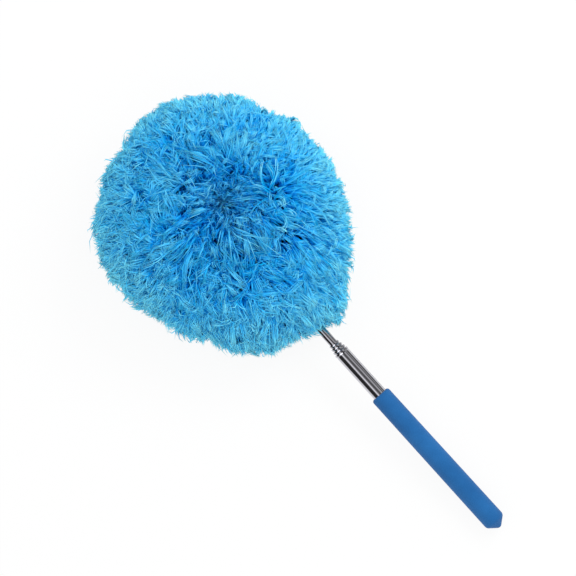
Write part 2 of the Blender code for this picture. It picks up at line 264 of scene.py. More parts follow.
def foamFinish():
    # Matte closed-cell foam: a fine skin of cells, faint clouds of colour and a soft edge of light.
    finish = Finish("foamBlue", {"Sheen Weight": 0.1, "Sheen Roughness": 0.5, "Specular IOR Level": 0.2})
    place = finish.along()
    cells = finish.node("ShaderNodeTexVoronoi", inputs={"Vector": place, "Scale": 1700})
    grain = finish.noise(place, scale=2600, roughness=0.7)
    cloud = finish.noise(place, scale=28, roughness=0.6)
    stops = [(0.3, fromScreen(21, 88, 148)), (0.7, fromScreen(31, 102, 165))]
    finish.use("Base Color", finish.ramp(cloud * 0.7 + grain * 0.3, stops))
    finish.use("Roughness", 0.62 + 0.2 * grain)
    finish.bump(cells * 0.5 + grain, strength=0.25, distance=0.0003)
    return finish


def mouldedFinish(name, low, high, roughness):
    # Moulded plastic or rubber with a faint orange-peel skin
    finish = Finish(name, {})
    place = finish.along()
    peel = finish.noise(place, scale=900, detail=2)
    cloud = finish.noise(place, scale=60)
    finish.use("Base Color", finish.ramp(cloud, [(0.35, fromScreen(*low)), (0.65, fromScreen(*high))]))
    finish.use("Roughness", roughness + 0.12 * peel)
    finish.bump(peel, strength=0.15, distance=0.0002)
    return finish


def metalFinish(name, low, high, roughness):
    # Plain drawn metal with lines along the pole
    finish = Finish(name, {"Metallic": 1})
    lines = finish.noise(finish.along((12, 1100, 1100)))
    finish.use("Base Color", finish.ramp(lines, [(0.3, fromScreen(*low)), (0.7, fromScreen(*high))]))
    finish.use("Roughness", roughness + 0.15 * lines)
    finish.bump(lines, strength=0.15, distance=0.0001)
    return finish


def knitFinish(name, low, high):
    # Knitted cloth: rows of loops, one after another along the pole
    finish = Finish(name, {"Sheen Weight": 0.4, "Roughness": 0.9})
    place = finish.along()
    wave = {"wave_type": "BANDS", "bands_direction": "X"}
    rows = finish.node("ShaderNodeTexWave", wave, {"Vector": place, "Scale": 260, "Distortion": 1.5})
    grain = finish.noise(place, scale=1400, detail=2)
    stops = [(0.3, fromScreen(*low)), (0.7, fromScreen(*high))]
    finish.use("Base Color", finish.ramp(rows * 0.6 + grain * 0.4, stops))
    finish.bump(rows + grain, strength=0.4, distance=0.0004)
    return finish


# Grip

grip = {
    "sides": 96,
    "topRadius": 0.0135,
    "endRadius": 0.01415,
    "pointLength": 0.0117,
    "pointRounding": 0.0050,
    "edgeRounding": 0.0065,
    "shoulderRadius": 0.0036,
    "floor": 0.0165,
    "boreGap": 0.0003,
    "steps": 24,  # rings along the sleeve
}


def gripOutline(first, last):
    # A blunt cone, a rounded edge, a long slightly tapered sleeve, a rounded shoulder and the bore
    slope = math.atan2(grip["endRadius"], grip["pointLength"])
    pointCentre = first + grip["pointRounding"]
    coneTip = pointCentre - grip["pointRounding"] / math.sin(slope)
    steep = math.degrees(slope)
    rounding = grip["edgeRounding"]
    cutBack = rounding * math.tan(slope / 2)
    edgeReach = coneTip + grip["pointLength"] + cutBack
    bore = pole["outerRadius"] + grip["boreGap"]
    shoulder = grip["shoulderRadius"]
    point = arc(pointCentre, 0, grip["pointRounding"], 180, 90 + steep)
    edge = arc(edgeReach, grip["endRadius"] - rounding, rounding, 90 + steep, 90)
    top = arc(last - shoulder, grip["topRadius"] - shoulder, shoulder, 90, 0)
    middle = np.linspace(edge[-1], top[0], grip["steps"])[1:-1]
    inside = [[last, bore], [first + grip["floor"], bore], [first + grip["floor"], 0]]
    point[0, 1] = 0
    return np.concatenate([point, edge, middle, top, inside])


def addGrip():
    points, faces = turned(gripOutline(*reachOf("grip")), grip["sides"])
    newPiece("foam_grip", points, faces, foamFinish(), "handle", ["grip"])


# Telescopic pole

pole = {
    "sides": 96,
    "outerRadius": 0.0095,
    "radiusStep": 0.00095,
    "wall": 0.0005,
    "lipLength": 0.003,
    "beadRise": 0.0005,
    "beadStretch": 2,
    "beadEnd": 66,  # degrees from the pole's direction, where the bead stops at a flat face
    "beadSteps": 10,
    "grooveDepth": 0.0004,
    "grooveLength": 0.0008,
    "lipGap": 0.00015,
    "footLength": 0.0015,
    "footRise": 0.0006,
    "footGap": 0.00012,
    "brightness": 0.62,
    "sharpAngle": 50,
    "bodies": {1: "handle", 2: "section_2", 3: "section_3", 4: "section_4", 5: "head"},
}


def tubeRadius(section):
    return pole["outerRadius"] - pole["radiusStep"] * (section - 1)


def tubeOutline(section, first, last):
    # A flared foot, the straight tube, a groove, and a mouth beaded and rolled in to the next tube
    radius = tubeRadius(section)
    bore = radius - pole["wall"]
    if section == 1:
        foot = [[first, radius]]
    else:
        flare = radius + pole["radiusStep"] - pole["wall"] - pole["footGap"]
        footEnd = first + pole["footLength"]
        foot = [[first, flare], [footEnd, flare], [footEnd + pole["footRise"], radius]]
    if section == len(pole["bodies"]):
        mouth = [[last, radius], [last, bore]]
    else:
        lip = tubeRadius(section + 1) + pole["lipGap"]
        rounding = radius + pole["beadRise"] - lip
        low = radius - pole["grooveDepth"]
        start = 180 - math.degrees(math.asin((low - lip) / rounding))
        bead = arc(0, lip, rounding, start, pole["beadEnd"], pole["beadSteps"])
        bead[:, 0] = last + (bead[:, 0] - bead[-1, 0]) * pole["beadStretch"]
        grooveEnd = bead[0, 0] - pole["grooveLength"]
        groove = [[grooveEnd - pole["grooveDepth"], radius], [grooveEnd, low]]
        inside = last - pole["lipLength"]
        mouth = np.concatenate([groove, bead, [[last, lip], [inside, lip], [inside, bore]]])
    return np.concatenate([foot, mouth, [[first, bore]]])


def addPole():
    for section, body in pole["bodies"].items():
        node = f"tube_{section}"
        points, faces = turned(tubeOutline(section, *reachOf(node)), pole["sides"])
        finish = steelFinish(f"steelTube{section}", pole["brightness"])
        piece = newPiece(f"steel_{node}", points, faces, finish, body, [node])
        piece.data.set_sharp_from_angle(angle=math.radians(pole["sharpAngle"]))


# Head

head = {
    "reach": 0.48755,  # from the swivel's point to the middle of the head's round outline
    "radius": 0.162,
    "holeRadius": 0.020,
    "holeOffset": (0.0196, -0.0144),
    "halfHeight": 0.058,
    # How far the outline swells past the round or falls short of it: where, by how much, and how widely
    "swells": [
        (188, 0.021, 14),
        (158, 0.006, 7),
        (130, -0.0115, 8),
        (104, -0.0190, 25),
        (79, -0.0008, 11),
        (48, 0.003, 10),
        (10, -0.002, 9),
        (208, -0.003, 7),
        (348, 0.007, 18),
        (298, -0.007, 7),
        (268, -0.0115, 30),
        (248, -0.003, 9),
        (228, -0.007, 12),
    ],
}

pile = {
    "seed": 7,
    "slices": 12,
    "strandsPerSlice": 9800,
    "strandsPerLock": 7,
    "rings": (0, 0.42, 0.73, 1),  # shares of a strand's length
    "rootDepth": 0.018,
    "coreDepth": 0.0155,
    "coreWall": 0.004,
    "coreColumns": 10,
    "coreRows": 40,
    "strandRadius": 0.00082,
    "widths": (0.75, 1.2),  # shares of the radius
    "tipThinner": 0.45,
    "massShading": 0.76,
    # How far a strand leans over and stands out, and the powers of its share that bend it
    "lean": 0.015,
    "standOut": 0.011,
    "topStandOutLess": 0.008,  # on top and below
    "bendPower": 1.5,
    "curvePower": 2.6,
    "riseTurn": 1.25,  # radians of the sine that its height follows
    "innerReach": 0.02,  # a strand's turn round the hole is no faster than at this reach
    # What counts as facing the hole, and as the upper side: start and width, slope and start
    "holeSide": (0.45, 0.5),
    "upperSide": (1.5, 0.2),
    "holeReach": 0.017,
    "holeReachLess": 0.35,  # on the upper side
    # Room kept round the pole and above the floor, and the highest that a strand goes
    "poleEnd": -0.09,  # along from the head's middle
    "poleRoom": 0.0012,
    "floorLift": 0.0012,
    "ceiling": 0.1535,
}

# The way that the strands are combed. Places and directions are along the pole and to the side.
combing = {
    "length": 0.8,
    "brushWay": (0.7405, -0.672),  # up in the picture
    "brush": (0.22, 0.5),  # how much, and what is added to the right in the picture
    "brushFade": 3,  # power of the reach by which the brush fades at the rim
    "smoothWay": (0.0484, -0.9988),  # toward the smoother, longer side
    "smoothLonger": 0.65,
    "whorlLonger": 0.25,
    "holeShorter": 0.25,
    # Strands lie outward beyond the crest round the hole, and inward on its other side
    "crest": 0.045,
    "crestUpward": 0.014,
    "crestWave": 0.008,
    "crestWavelengths": (0.1, 0.03),
    "crestWidth": 0.016,
    "whorlShare": 0.72,
    "whorlEye": 6,  # a whorl leaves the strands as they were within its spread over this
    # Place, spread and lean of the whorl and of the partings
    "whorls": [
        ((-0.0137, -0.0681), 0.048, (0.4, 0.45)),
        ((-0.0882, 0.0012), 0.034, (-0.45, -0.5)),
        ((0.0732, -0.0216), 0.011, (0, 0)),
        ((0.0508, 0.0314), 0.011, (0, 0)),
        ((-0.0425, -0.0515), 0.013, (0, 0)),
        ((-0.0607, 0.0089), 0.011, (0, 0)),
        ((-0.0667, 0.0401), 0.014, (0, 0)),
        ((-0.0336, 0.1011), 0.014, (0, 0)),
        ((-0.0299, 0.0410), 0.009, (0, 0)),
        ((-0.0745, -0.0593), 0.010, (0, 0)),
        ((0.0330, 0.0837), 0.010, (0, 0)),
        ((0.1047, 0.0255), 0.010, (0, 0)),
    ],
}

# How locks differ from each other
locks = {
    "calmer": 0.6,  # by how much the smooth side has less frizz
    "sway": (0.14, 0.2),  # and what frizz adds
    "swayWavelength": 0.042,
    "loose": (0.2, 0.4),  # and what frizz adds
    "rimShorter": 0.35,
    "holeUpward": 0.8,
    "lengthSpread": (0.16, 0.07),  # and what the rim adds
    "lengthWave": 0.08,
    "lengthWavelength": 0.03,
    "tint": 0.12,
    "tintWave": 0.07,
    "tintWavelength": 0.06,
    # Painted light: the rim is paler, as if lit through its thin tips, and paler still on the side in shade
    "paintedRimLight": (0.38, 0.14),  # and what the side away from the smooth one adds
    "tintSpread": 0.06,
    "curve": (0.35, 0.2),  # and what the rim takes off
    "draw": 0.88,
    "drawPower": 1.2,
    "held": (0.7, 1.1),  # least and most
    "rimLooser": 0.1,
}

# How the strands of one lock differ. Strays stand off from their lock, and flyaways stand far out of the rim.
strands = {
    "way": (0.22, 0.3),  # with frizz, and for a stray
    "lengthSpread": 0.1,
    "curl": (0.0016, 0.0022),  # with frizz, and for a stray
    "middleCurl": 0.5,
    "strayShare": 0.06,
    "strayLonger": 0.04,
    "strayCurve": 0.4,
    "strayHeld": 0.1,
    "strayPaler": 0.06,
    "flyawayShare": 0.003,
    "flyawayLonger": 0.45,
    # Painted light: longer strands, which stand out of the pile, are paler
    "longerPaintedLight": 0.7,
    "tintSpread": 0.1,
    "tints": (0.02, 0.97),
    "fade": 0.9,
    # Painted shade: shorter strands and those toward the hole stay lower on the root-to-tip ramp, so they are
    # darker
    "lengthPaintedShade": 1.5,
    "holePaintedShade": 0.4,
    "fadeSpread": 0.08,
    "fades": (0.4, 1),
}

curls = {
    "seed": 11,
    "each": 4,
    "segments": 12,
    "spread": 0.0012,
    "turnSpread": 5,  # degrees
    "rootDepth": 0.008,
    "height": 0.0055,
    "lowest": 0.3,  # share of the height
    "tints": (0.65, 0.97),
    "widths": (0.7, 0.9),
    # Centre (along the pole and to the side), radius, and start and sweep in degrees
    "arcs": [
        (-0.0430, -0.0514, 0.0100, 38, -250),
        (-0.0265, -0.0700, 0.0078, 55, -215),
        (-0.0266, -0.0660, 0.0045, 52, -200),
        (-0.0090, -0.0388, 0.0305, 263, 50),
        (-0.0397, -0.0154, 0.0600, 305, 43),
        (-0.0567, -0.0547, 0.0470, 349, 46),
        (-0.0476, -0.0649, 0.0107, 12, -119),
        (-0.0622, -0.0279, 0.0227, 352, -80),
        (-0.0133, -0.1149, 0.0480, 77, -47),
        (0.0446, -0.0644, 0.0500, 186, 52),
    ],
}


def swellAt(turn):
    # Sum of round bumps in the place round the ring, given in degrees
    total = 0
    for place, rise, width in head["swells"]:
        apart = (np.degrees(turn) - place + 180) % 360 - 180
        total = total + rise * np.exp(-((apart / width) ** 2))
    return total


def pilePoint(turn, around, depth):
    # The ring's section is an ellipse: reach from the middle follows cos(around), height sin(around).
    # around is zero at the outer rim, a quarter turn on top and half a turn at the hole.
    halfWidth = (head["radius"] - head["holeRadius"]) / 2
    share = (1 - (1 - depth / halfWidth) * np.cos(around)) / 2
    height = (head["halfHeight"] - depth) * np.sin(around)
    rim = np.clip(1 - share, 0, 1) ** 2
    reach = head["radius"] + (head["holeRadius"] - head["radius"]) * share + swellAt(turn) * rim
    offset = head["holeOffset"]
    side = offset[1] * share + reach * np.sin(turn)
    return np.stack([offset[0] * share + reach * np.cos(turn), side, height], axis=-1)


def unit(vectors):
    # The same directions with length one
    return vectors / np.maximum(np.linalg.norm(vectors, axis=-1, keepdims=True), 1e-9)


def smoothNoise(dice, points, wavelength, count=24):
    # Sum of sine waves in random directions, about -1 to 1
    waves = unit(dice.normal(size=(count, 3))) * math.tau / wavelength * dice.uniform(0.6, 1.5, (count, 1))
    phases = dice.uniform(0, math.tau, count)
    return np.sin(points @ waves.T + phases).sum(axis=1) / math.sqrt(count / 2)


def rootPlaces(dice, count, firstTurn, lastTurn):
    # Places spread evenly over the surface: around is drawn by the area that it has
    around = np.linspace(-math.pi, math.pi, 361)
    depth = pile["rootDepth"] / 2
    ring = pilePoint(np.zeros_like(around), around, depth)
    pieceLength = np.linalg.norm(np.diff(ring, axis=0), axis=1)
    reach = np.hypot(ring[:, 0] - head["holeOffset"][0] / 2, ring[:, 1])
    area = np.concatenate([[0], np.cumsum(pieceLength * (reach[1:] + reach[:-1]) / 2)])
    drawn = np.interp(dice.uniform(0, area[-1], count), area, around)
    return dice.uniform(firstTurn, lastTurn, count), drawn


def smoothShare(points):
    # Rises from the head's middle to one at the rim of the smooth side, and is zero on the other side
    return np.clip(points[:, :2] @ np.array(combing["smoothWay"]) / head["radius"], 0, 1)


def combDirection(dice, points):
    # The way that strands are combed: away from the crest round the hole, and out from the whorls and
    # the partings. Each of these acts on the upper side within its spread, most where its lean points.
    brush = np.array(combing["brushWay"])
    across = points[:, :2] @ np.array([-brush[1], brush[0]]) / head["radius"]
    brushed = np.clip(-across, 0, 1)[:, None]
    least, more = combing["brush"]
    away = points[:, :2] - np.array(head["holeOffset"])
    distance = np.linalg.norm(away, axis=1, keepdims=True)
    crest = combing["crest"] + combing["crestUpward"] * (unit(away) @ brush)
    long, short = (smoothNoise(dice, points, wavelength) for wavelength in combing["crestWavelengths"])
    crest += combing["crestWave"] * (long + short)
    outward = np.tanh((distance[:, 0] - crest) / combing["crestWidth"])
    reach = np.linalg.norm(points[:, :2], axis=1, keepdims=True) / head["radius"]
    inner = 1 - np.clip(reach, 0, 1) ** combing["brushFade"]
    flat = unit(away) * outward[:, None] + brush * (least + more * brushed) * inner
    nearHole = np.exp(-((distance / (2 * combing["crest"])) ** 2))
    total = 0
    for place, spread, lean in combing["whorls"]:
        apart = points[:, :2] - np.array(place)
        shares = np.linalg.norm(apart, axis=1, keepdims=True) / spread
        favour = 1 - 0.5 * np.linalg.norm(lean) + 0.5 * unit(apart) @ np.array(lean)[:, None]
        share = combing["whorlShare"] * np.exp(-(shares**2)) * (points[:, 2:] > 0) * favour
        share *= 1 - np.exp(-((combing["whorlEye"] * shares) ** 2))
        flat = unit(flat * (1 - share) + unit(apart) * share)
        total = np.maximum(total, share)
    longer = combing["smoothLonger"] * smoothShare(points)[:, None] + combing["whorlLonger"] * total
    flat = flat * (combing["length"] + longer - combing["holeShorter"] * nearHole)
    return np.concatenate([flat, np.zeros((len(points), 1))], axis=1)


def holeSides(around):
    # Two shares: how much a place faces the hole, and how far up the ring's section it is
    start, width = pile["holeSide"]
    slope, least = pile["upperSide"]
    towardHole = np.clip((-np.cos(around) - start) / width, 0, 1)
    upper = np.clip(slope * np.sin(around) + least, 0, 1)
    return towardHole, upper


def strandPaths(turn, around, direction, curve, length, share):
    # A strand stands up from its root and bends over the way that it is combed, then sideways by its
    # curve. Its depth falls with the sine of its share, and its travel grows with powers of it.
    step = 1e-4
    root = pilePoint(turn, around, pile["rootDepth"])
    alongTurn = (pilePoint(turn + step, around, pile["rootDepth"]) - root) / step
    alongAround = (pilePoint(turn, around + step, pile["rootDepth"]) - root) / step
    sideways = np.cross(unit(np.cross(alongTurn, alongAround)), direction) * curve[:, None]
    travel = (pile["lean"] * length)[:, None]
    bends = [share ** pile["bendPower"], share ** pile["curvePower"]]
    leastSquare = pile["innerReach"] ** 2
    turnShift = 0
    aroundShift = 0
    for way, bend in zip((direction, sideways), bends):
        turnRate = (way * alongTurn).sum(1) / np.maximum((alongTurn**2).sum(1), leastSquare)
        aroundRate = (way * alongAround).sum(1) / (alongAround**2).sum(1)
        turnShift = turnShift + turnRate[:, None] * travel * bend
        aroundShift = aroundShift + aroundRate[:, None] * travel * bend
    rise = np.sin(share * pile["riseTurn"]) / math.sin(pile["riseTurn"])
    towardHole, upper = holeSides(around)
    extra = pile["holeReach"] * towardHole * (1 - pile["holeReachLess"] * upper)
    depth = pile["rootDepth"] - (pile["rootDepth"] + extra[:, None]) * length[:, None] * rise
    standOut = pile["standOut"] - pile["topStandOutLess"] * np.sin(around) ** 2 + extra
    depth = np.maximum(depth, -standOut[:, None])
    return pilePoint(turn[:, None] + turnShift, around[:, None] + aroundShift, depth)


def lockOf(places, guides):
    # Number of the nearest guide: the one with the largest dot product less half its own square
    atOnce = 4000  # places, to spare memory
    nearest = np.empty(len(places), int)
    half = (guides**2).sum(1) / 2
    for start in range(0, len(places), atOnce):
        part = slice(start, start + atOnce)
        nearest[part] = (places[part] @ guides.T - half).argmax(1)
    return nearest


def keptClear(points):
    # Strands are pushed out from the pole and up from the floor. Points are in the head's frame.
    nearPole = points[..., 0] < pile["poleEnd"]
    radial = np.hypot(points[..., 1], points[..., 2])
    clear = tubeRadius(len(pole["bodies"])) + pile["poleRoom"]
    pushed = np.where(nearPole, np.sqrt(radial**2 + clear**2) / np.maximum(radial, 1e-6), 1)
    points[..., 1:] *= pushed[..., None]
    world = toWorld(points + np.array([head["reach"], 0, 0]))
    world[..., 2] = np.clip(world[..., 2], pile["floorLift"], pile["ceiling"])
    return world


def outwardAt(turn, around):
    # Direction straight out of the pile's surface, in the world
    step = 1e-4
    place = pilePoint(turn, around, 0)
    alongTurn = pilePoint(turn + step, around, 0) - place
    alongAround = pilePoint(turn, around + step, 0) - place
    return unit(np.cross(alongTurn, alongAround)) @ poleFrame


def strandMesh(paths, share, radius, tint, fade, outward, dice):
    # Three-sided tubes along the paths (strand, ring, 3). The last ring is drawn in to a point.
    # In the map, u is the strand's tint, which is partly painted light, and v its share from root to tip,
    # scaled by its fade, which sets how much painted shade it keeps. Normals lean toward the pile's own,
    # because a soft mass of strands is lit as a whole.
    count, rings, _ = paths.shape
    sides = 3
    tangent = unit(np.gradient(paths, axis=1))
    reference = unit(dice.normal(size=(count, 1, 3)))
    across = unit(np.cross(tangent, reference))
    over = np.cross(tangent, across)
    width = radius[:, None] * (1 - pile["tipThinner"] * share**2)
    angles = np.arange(sides) * math.tau / sides
    circle = across[:, :, None] * np.cos(angles)[:, None]
    circle = circle + over[:, :, None] * np.sin(angles)[:, None]
    tubes = paths[:, :, None] + circle * width[:, :, None, None]
    perStrand = (rings - 1) * sides + 1
    points = np.concatenate([tubes[:, :-1].reshape(count, -1, 3), paths[:, -1:]], axis=1)
    own = np.concatenate([circle[:, :-1].reshape(count, -1, 3), tangent[:, -1:]], axis=1)
    normals = unit(own * (1 - pile["massShading"]) + outward[:, None] * pile["massShading"])
    side = np.arange(sides)
    after = (side + 1) % sides
    body = gridFaces(rings - 1, sides, False, True)
    lastRing = (rings - 2) * sides
    tip = np.stack([lastRing + side, lastRing + after, np.full(sides, perStrand - 1)], axis=1)
    foot = np.array([[2, 1, 0]])
    first = (np.arange(count) * perStrand)[:, None, None]
    quads = (first + body).reshape(-1, 4)
    triangles = (first + np.concatenate([tip, foot])).reshape(-1, 3)

    mapWidth = 0.004  # of one side of a strand
    footHeight = 0.02
    ringOf = (body // sides)[:, :1].ravel()
    sideOf = body[:, 0] % sides
    bodyU = np.stack([sideOf, sideOf + 1, sideOf + 1, sideOf], axis=1) * mapWidth
    bodyV = np.stack([share[ringOf], share[ringOf], share[ringOf + 1], share[ringOf + 1]], axis=1)
    tipU = np.stack([side, side + 1, side + 0.5], axis=1) * mapWidth
    tipV = np.array([[share[-2], share[-2], 1]] * sides)
    footU = np.array([[2, 1, 0]]) * mapWidth
    footV = np.array([[0, footHeight, 0]])
    tint, fade = tint[:, None, None], fade[:, None, None]
    quadMap = np.stack(np.broadcast_arrays(tint + bodyU, fade * bodyV), axis=-1).reshape(-1, 2)
    triangleU = np.concatenate([tipU, footU])
    triangleV = np.concatenate([tipV, footV])
    triangleMap = np.stack(np.broadcast_arrays(tint + triangleU, fade * triangleV), axis=-1)
    places = np.concatenate([quadMap, triangleMap.reshape(-1, 2)])
    return points.reshape(-1, 3), [quads, triangles], places, normals.reshape(-1, 3)


def coreMesh(firstTurn, lastTurn):
    # The imported feet of the strands: a closed shell over one slice of the ring, between two depths.
    # In the map it is one small patch, at the deepest tint, the darkest end of the painted shade.
    rows = pile["coreRows"]
    patch = 0.012
    turn = np.linspace(firstTurn, lastTurn, pile["coreColumns"])[:, None]
    around = (np.arange(rows) * math.tau / rows)[None]
    turn, around = np.broadcast_arrays(turn, around)
    outer, inner = (pilePoint(turn, around, pile["coreDepth"] + wall) for wall in (0, pile["coreWall"]))
    grid = np.concatenate([outer, inner[::-1]])
    faces = gridFaces(len(grid), rows, True, True)
    places = np.array([[0, 0], [patch, 0], [patch, patch], [0, patch]])
    outward = outwardAt(turn, around)
    normals = np.concatenate([outward, -outward[::-1]])
    return grid.reshape(-1, 3), faces, np.tile(places, (len(faces), 1)), normals.reshape(-1, 3)


def pileFinish():
    # u picks the strand's tint, from deep blue to pale cyan, and v shades it from root to tip. The pale end
    # of the tint is partly painted light, at the rim and on longer strands, and the darker root end of both
    # ramps is painted shade deep in the pile.
    finish = Finish("pileFibre", {"Roughness": 0.6, "Specular IOR Level": 0})
    place = finish.node("ShaderNodeUVMap", {"uv_map": "OFBake"})
    tint = finish.node("ShaderNodeSeparateXYZ", inputs={0: place}, output="X")
    share = finish.node("ShaderNodeSeparateXYZ", inputs={0: place}, output="Y")
    # Both ramps darken toward the root: painted shade deep in the pile
    deep = [(0, fromScreen(0, 126, 212)), (0.4, fromScreen(0, 158, 250)), (1, fromScreen(20, 200, 255))]
    pale = [(0, fromScreen(0, 146, 228)), (0.4, fromScreen(24, 200, 255)), (1, fromScreen(156, 246, 255))]
    finish.use("Base Color", finish.blended(tint, finish.ramp(share, deep), finish.ramp(share, pale)))
    return finish


def placeOnTop(points):
    # Turn and around of the places of the upper surface that lie over points (along the pole, side)
    offset = np.array(head["holeOffset"])
    rounds = 8  # each brings the share across the ring closer
    share = np.zeros(points.shape[:-1] + (1,))
    for _ in range(rounds):
        away = points - offset * share
        reach = np.linalg.norm(away, axis=-1, keepdims=True)
        share = np.clip((head["radius"] - reach) / (head["radius"] - head["holeRadius"]), 0, 1)
    return np.arctan2(away[..., 1], away[..., 0]), np.arccos(1 - 2 * share[..., 0])


def addCurls(finish):
    # Single long strands that lie over the others near the whorl. Each comes up out of the pile and
    # follows an arc, given in the plane of the head.
    dice = np.random.default_rng(curls["seed"])
    share = np.linspace(0, 1, curls["segments"] + 1)
    arcs = np.repeat(np.array(curls["arcs"]), curls["each"], axis=0)
    count = len(arcs)
    along, side, radius, start, sweep = arcs.T
    radius = radius + curls["spread"] * dice.normal(size=count)
    start = np.radians(start + curls["turnSpread"] * dice.normal(size=count))
    angle = start[:, None] + np.radians(sweep)[:, None] * share
    centre = np.stack([along, side], axis=1) + curls["spread"] * dice.normal(size=(count, 2))
    flat = centre[:, None] + radius[:, None, None] * np.stack([np.cos(angle), np.sin(angle)], axis=-1)
    turn, around = placeOnTop(flat)
    height = curls["height"] * dice.uniform(curls["lowest"], 1, (count, 1))
    depth = curls["rootDepth"] * (1 - share) ** 3 - height
    paths = keptClear(pilePoint(turn, around, depth))
    outward = outwardAt(turn[:, 0], around[:, 0])
    tint = dice.uniform(*curls["tints"], count)
    width = pile["strandRadius"] * dice.uniform(*curls["widths"], count)
    fade = np.ones(count)
    points, faces, places, normals = strandMesh(paths, share, width, tint, fade, outward, dice)
    newPiece("pile_curls", points, faces, finish, "head", (), places, normals)


def lockGuides(dice, share):
    # One guide strand for each lock, with the numbers that its strands share
    count = pile["strandsPerSlice"] // pile["strandsPerLock"] * pile["slices"]
    turn, around = rootPlaces(dice, count, 0, math.tau)
    root = pilePoint(turn, around, pile["rootDepth"])
    comb = combDirection(dice, root)
    sway = np.stack([smoothNoise(dice, root, locks["swayWavelength"]) for _ in range(3)], axis=1)
    loose = dice.normal(size=(count, 3))
    frizz = 1 - locks["calmer"] * smoothShare(root)
    towardHole, upper = holeSides(around)
    comb[:, 2] += locks["holeUpward"] * towardHole * upper
    rim = np.clip(np.cos(around), 0, 1)
    least, more = locks["sway"]
    way = comb + ((least + more * frizz) * (1 - rim))[:, None] * sway
    least, more = locks["loose"]
    way = way + (least + more * frizz[:, None]) * loose
    way *= 1 - locks["rimShorter"] * rim[:, None]
    least, more = locks["lengthSpread"]
    length = 1 + (least + more * rim) * dice.normal(size=count)
    length += locks["lengthWave"] * smoothNoise(dice, root, locks["lengthWavelength"])
    # Painted light: the rim's strands are paler, as if lit through their thin tips, and more so on the side
    # in shade
    shadeSide = np.clip(root[:, :2] @ -np.array(combing["smoothWay"]) / head["radius"], 0, 1)
    least, more = locks["paintedRimLight"]
    tint = locks["tint"] + locks["tintWave"] * smoothNoise(dice, root, locks["tintWavelength"])
    tint = tint + (least + more * shadeSide) * rim
    tint += locks["tintSpread"] * dice.normal(size=count)
    most, less = locks["curve"]
    curve = (most - less * rim) * dice.normal(size=count)
    return {
        "root": root,
        "way": way,
        "length": length,
        "curve": curve,
        "tint": tint,
        "frizz": frizz,
        "rim": rim,
        "towardHole": towardHole,
        "paths": strandPaths(turn, around, way, curve, length, share),
    }


def sliceStrands(dice, guides, turn, around, share):
    # Each strand starts at its own root and is drawn toward the guide of its lock, more toward its tip
    lock = lockOf(pilePoint(turn, around, pile["rootDepth"]), guides["root"])
    guide = {key: values[lock] for key, values in guides.items()}
    count = len(turn)
    frizz, rim = guide["frizz"], guide["rim"]
    stray = dice.random(count) < strands["strayShare"] * frizz
    spread, strayMore = strands["way"]
    way = guide["way"] + (spread * frizz + strayMore * stray)[:, None] * dice.normal(size=(count, 3))
    flyaway = dice.random(count) < strands["flyawayShare"] * rim
    length = guide["length"] * (1 + strands["lengthSpread"] * dice.normal(size=count))
    length = length + strands["strayLonger"] * stray
    curve = guide["curve"] + strands["strayCurve"] * stray * dice.normal(size=count)
    reached = length + strands["flyawayLonger"] * flyaway
    paths = strandPaths(turn, around, way, curve, reached, share)
    held = dice.uniform(*locks["held"], count) - locks["rimLooser"] * rim
    held = np.where(stray | flyaway, strands["strayHeld"], held)
    draw = (locks["draw"] * share ** locks["drawPower"])[None, :, None]
    paths += (guide["paths"] - paths) * draw * held[:, None, None]
    spread, strayMore = strands["curl"]
    curl = (spread * frizz + strayMore * stray)[:, None, None]
    paths += dice.normal(size=(count, 1, 3)) * curl * (share**2)[None, :, None]
    middle = np.sin(math.pi * share)[None, :, None]
    paths += dice.normal(size=(count, 1, 3)) * curl * strands["middleCurl"] * middle
    # Painted light: longer strands, standing out of the pile, get a paler tint
    tint = guide["tint"] + strands["longerPaintedLight"] * (length - 1)
    tint = tint + strands["tintSpread"] * dice.normal(size=count) + strands["strayPaler"] * stray
    # Painted shade: shorter strands and those toward the hole reach less far up the ramp, so they are darker
    fade = strands["fade"] + strands["lengthPaintedShade"] * (length - 1) - strands["holePaintedShade"] * guide["towardHole"]
    fade = fade + strands["fadeSpread"] * dice.normal(size=count)
    radius = pile["strandRadius"] * dice.uniform(*pile["widths"], count)
    tint, fade = np.clip(tint, *strands["tints"]), np.clip(fade, *strands["fades"])
    return keptClear(paths), radius, tint, fade


def addPile():
    dice = np.random.default_rng(pile["seed"])
    finish = pileFinish()
    share = np.array(pile["rings"])
    guides = lockGuides(dice, share)
    sliceTurn = math.tau / pile["slices"]
    for number in range(1, pile["slices"] + 1):
        middle = math.pi + sliceTurn * (number - 1)
        firstTurn, lastTurn = middle - sliceTurn / 2, middle + sliceTurn / 2
        turn, around = rootPlaces(dice, pile["strandsPerSlice"], firstTurn, lastTurn)
        paths, radius, tint, fade = sliceStrands(dice, guides, turn, around, share)
        outward = outwardAt(turn, around)
        points, faces, places, normals = strandMesh(paths, share, radius, tint, fade, outward, dice)
        corePoints, coreFaces, corePlaces, coreNormals = coreMesh(firstTurn, lastTurn)
        quadCorners = faces[0].size
        faces[0] = np.concatenate([faces[0], coreFaces + len(points)])
        points = np.concatenate([points, keptClear(corePoints)])
        normals = np.concatenate([normals, coreNormals])
        places = np.concatenate([places[:quadCorners], corePlaces, places[quadCorners:]])
        name, node = f"pile_locks_{number}", f"pile_{number}"
        newPiece(name, points, faces, finish, "head", [node], places, normals)
    addCurls(finish)
    print("pile done")


# Cloth parts and hidden pieces

cover = {
    "cuffSides": 120,
    "wall": 0.0009,
    "hoodRadius": 0.0103,
    "hoodRise": 0.0032,
    "socketGap": 0.0003,
    "loopRadius": 0.00465,
    "loopColumns": 160,
    "loopRows": 24,
    "loopOpening": 0.0118,  # half its width, at the socket
}

